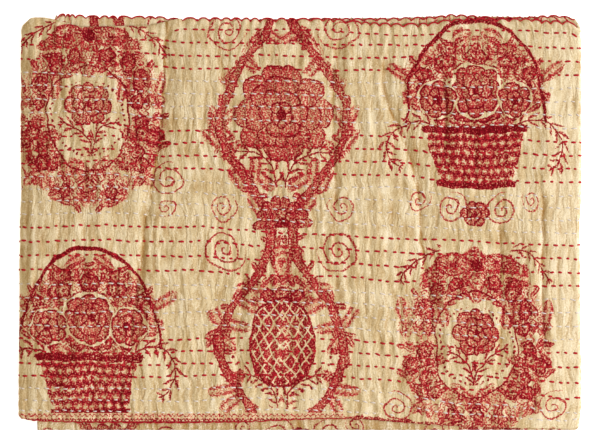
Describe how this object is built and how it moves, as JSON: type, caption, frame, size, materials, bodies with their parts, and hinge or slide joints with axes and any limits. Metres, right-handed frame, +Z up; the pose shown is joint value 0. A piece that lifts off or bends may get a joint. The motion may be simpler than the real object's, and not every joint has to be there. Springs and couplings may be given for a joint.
{
  "type": "folded quilted throw blanket",
  "caption": "Hand-stitched cotton quilt throw in cream and red print, folded back and forth into a flat rectangular stack that rests on a surface.",
  "frame": {"origin": "centre of the bounding box on the underside of the folded stack", "axes": "+Z up from the surface it rests on, +X to the right of the front panel, +Y towards the front panel's top hem"},
  "size_m": [0.5963, 0.4392, 0.0314],
  "materials": {
    "printed_cotton": "matte printed cotton, puckered by rows of running stitch",
    "red_thread": "matte cotton thread",
    "white_thread": "matte cotton thread"
  },
  "bodies": {
    "root": {"quilt": "printed_cotton"}
  },
  "joints": []
}
